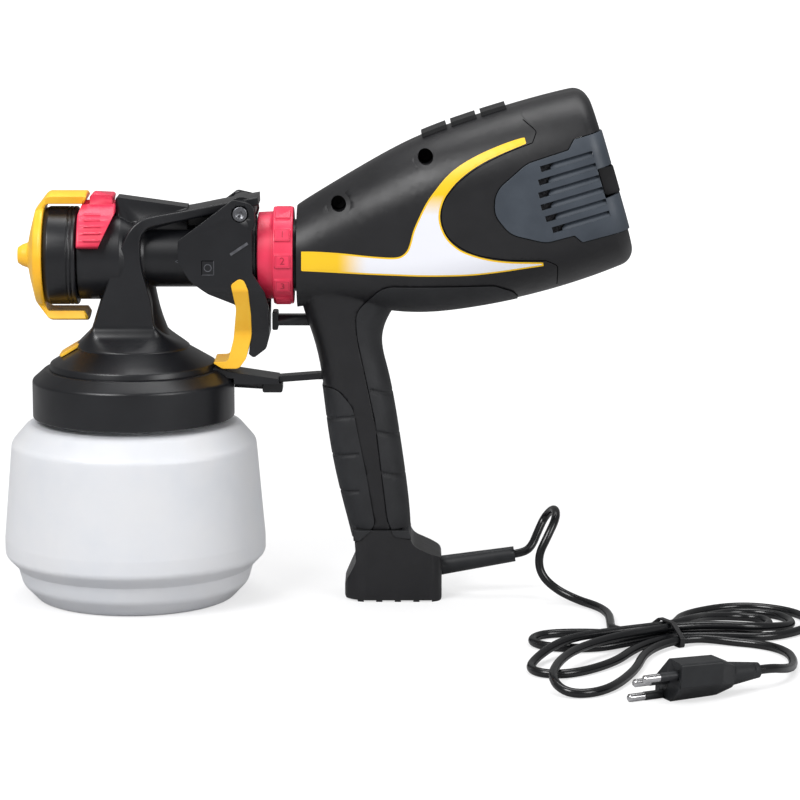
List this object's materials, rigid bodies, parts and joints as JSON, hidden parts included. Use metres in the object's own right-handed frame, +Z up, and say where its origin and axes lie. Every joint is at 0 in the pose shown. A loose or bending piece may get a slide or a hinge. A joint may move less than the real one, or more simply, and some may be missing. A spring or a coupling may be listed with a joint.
{
  "type": "hand-held turbine paint sprayer",
  "caption": "Hand-held electric turbine paint sprayer with a translucent container under the spray head, trigger, tilted motor end, pistol handle and a tied mains cord with plug",
  "frame": {"origin": "middle of the container's base, on the surface that the sprayer stands on", "axes": "+Z up, the jet leaves towards -X, the motor end, handle and cord are towards +X"},
  "size_m": [0.4421, 0.3118, 0.2824],
  "materials": {
    "head_plastic": "moulded black nylon, satin",
    "housing_plastic": "moulded black ABS, satin",
    "cover_plastic": "slate grey moulded plastic",
    "grip_rubber": "soft matt grip",
    "yellow_plastic": "moulded yellow plastic",
    "red_plastic": "moulded red plastic",
    "container_plastic": "blow-moulded translucent plastic",
    "clear_tube": "natural polyethylene tube",
    "seal_rubber": "black nitrile",
    "steel_inner": "turned stainless steel",
    "spring_steel": "drawn spring wire",
    "screw_steel": "zinc plated",
    "brass_nozzle": "turned brass",
    "impeller_alloy": "pressed aluminium",
    "motor_steel": "lacquered sheet steel",
    "inner_plastic": "plain moulded plastic",
    "filter_foam": "open-cell foam",
    "cord_pvc": "glossy black PVC",
    "tie_plastic": "black plastic tie",
    "plug_plastic": "moulded black PVC",
    "plug_pin_metal": "nickel plated brass"
  },
  "bodies": {
    "root": {"spray_head": "head_plastic", "cup_lid": "head_plastic", "lid_gasket": "seal_rubber", "pickup_tube": "clear_tube", "badge_plate": "yellow_plastic", "fluid_tube": "steel_inner", "needle_packing": "seal_rubber", "fluid_nozzle": "brass_nozzle", "nozzle_seal": "seal_rubber", "spring_cap": "head_plastic", "trigger_screw": "screw_steel", "trigger_nut": "screw_steel", "guard_link": "head_plastic", "guard_clip": "head_plastic", "housing_left": "housing_plastic", "housing_right": "housing_plastic", "rear_shroud": "housing_plastic", "grip_front": "grip_rubber", "grip_rear": "grip_rubber", "top_grip_pads": "grip_rubber", "housing_screws": "screw_steel", "air_duct": "inner_plastic", "turbine_casing": "inner_plastic", "motor_can": "motor_steel", "motor_bearings": "steel_inner", "motor_mounts": "seal_rubber", "brush_holders": "brass_nozzle", "filter_foam_left": "filter_foam", "filter_foam_right": "filter_foam", "power_switch": "inner_plastic", "strain_relief": "cord_pvc", "cord_lead": "cord_pvc", "cord_hank": "cord_pvc", "cord_tail": "cord_pvc", "twist_tie": "tie_plastic", "plug_body": "plug_plastic", "plug_pins": "plug_pin_metal", "plug_sleeves": "plug_plastic"},
    "container": {"container": "container_plastic"},
    "air_cap": {"air_cap": "yellow_plastic"},
    "cap_nut": {"cap_nut": "head_plastic"},
    "jet_switch": {"jet_switch": "red_plastic"},
    "lock_ring": {"lock_ring": "red_plastic"},
    "trigger": {"trigger_body": "head_plastic", "trigger_pad": "yellow_plastic"},
    "needle": {"needle": "steel_inner", "needle_yoke": "steel_inner"},
    "needle_spring": {"needle_spring": "spring_steel"},
    "switch_rod": {"switch_rod": "head_plastic"},
    "rotor": {"rotor_shaft": "steel_inner", "impeller_front": "impeller_alloy", "impeller_rear": "impeller_alloy"},
    "filter_cover_left": {"filter_cover_left": "cover_plastic"},
    "filter_cover_right": {"filter_cover_right": "cover_plastic"},
    "cover_latch_left": {"cover_latch_left": "housing_plastic"},
    "cover_latch_right": {"cover_latch_right": "housing_plastic"}
  },
  "joints": [
    {"name": "container_off", "type": "slide", "parent": "root", "child": "container", "axis": [0, 0, -1], "range_m": [0, 0.11]},
    {"name": "air_cap_turn", "type": "hinge", "parent": "root", "child": "air_cap", "pos_m": [-0.05, 0, 0.1895], "axis": [1, 0, 0], "range_deg": [0, 90]},
    {"name": "cap_nut_turn", "type": "hinge", "parent": "root", "child": "cap_nut", "pos_m": [-0.037, 0, 0.1895], "axis": [1, 0, 0], "range_deg": [0, 90]},
    {"name": "jet_switch_turn", "type": "hinge", "parent": "root", "child": "jet_switch", "pos_m": [-0.018, 0, 0.1895], "axis": [1, 0, 0], "range_deg": [0, 30]},
    {"name": "lock_ring_turn", "type": "hinge", "parent": "root", "child": "lock_ring", "pos_m": [0.079, 0, 0.1895], "axis": [1, 0, 0], "range_deg": [0, 45]},
    {"name": "trigger_pull", "type": "hinge", "parent": "root", "child": "trigger", "pos_m": [0.0605, 0, 0.215], "axis": [0, -1, 0], "range_deg": [0, 10], "stiffness_Nm_per_rad": 1.2, "springref_deg": -5.73},
    {"name": "needle_slide", "type": "slide", "parent": "root", "child": "needle", "axis": [1, 0, 0], "range_m": [0, 0.005]},
    {"name": "needle_spring_slide", "type": "slide", "parent": "root", "child": "needle_spring", "axis": [1, 0, 0], "range_m": [0, 0.005]},
    {"name": "switch_rod_slide", "type": "slide", "parent": "root", "child": "switch_rod", "axis": [1, 0, 0], "range_m": [0, 0.011]},
    {"name": "rotor_spin", "type": "hinge", "parent": "root", "child": "rotor", "pos_m": [0.0904, 0, 0.1885], "axis": [0.9588, 0, 0.284], "continuous": true},
    {"name": "filter_cover_left_off", "type": "slide", "parent": "root", "child": "filter_cover_left", "axis": [0, -1, 0], "range_m": [0, 0.03]},
    {"name": "filter_cover_right_off", "type": "slide", "parent": "root", "child": "filter_cover_right", "axis": [0, 1, 0], "range_m": [0, 0.03]},
    {"name": "cover_latch_left_press", "type": "slide", "parent": "filter_cover_left", "child": "cover_latch_left", "axis": [0, 1, 0], "range_m": [0, 0.002], "stiffness_N_per_m": 600, "springref_m": -0.001},
    {"name": "cover_latch_right_press", "type": "slide", "parent": "filter_cover_right", "child": "cover_latch_right", "axis": [0, -1, 0], "range_m": [0, 0.002], "stiffness_N_per_m": 600, "springref_m": -0.001}
  ],
  "couplings": [
    {"joint": "needle_slide", "follows": "trigger_pull", "m_per_rad": 0.0275},
    {"joint": "needle_spring_slide", "follows": "trigger_pull", "m_per_rad": 0.0275},
    {"joint": "switch_rod_slide", "follows": "trigger_pull", "m_per_rad": 0.061}
  ]
}
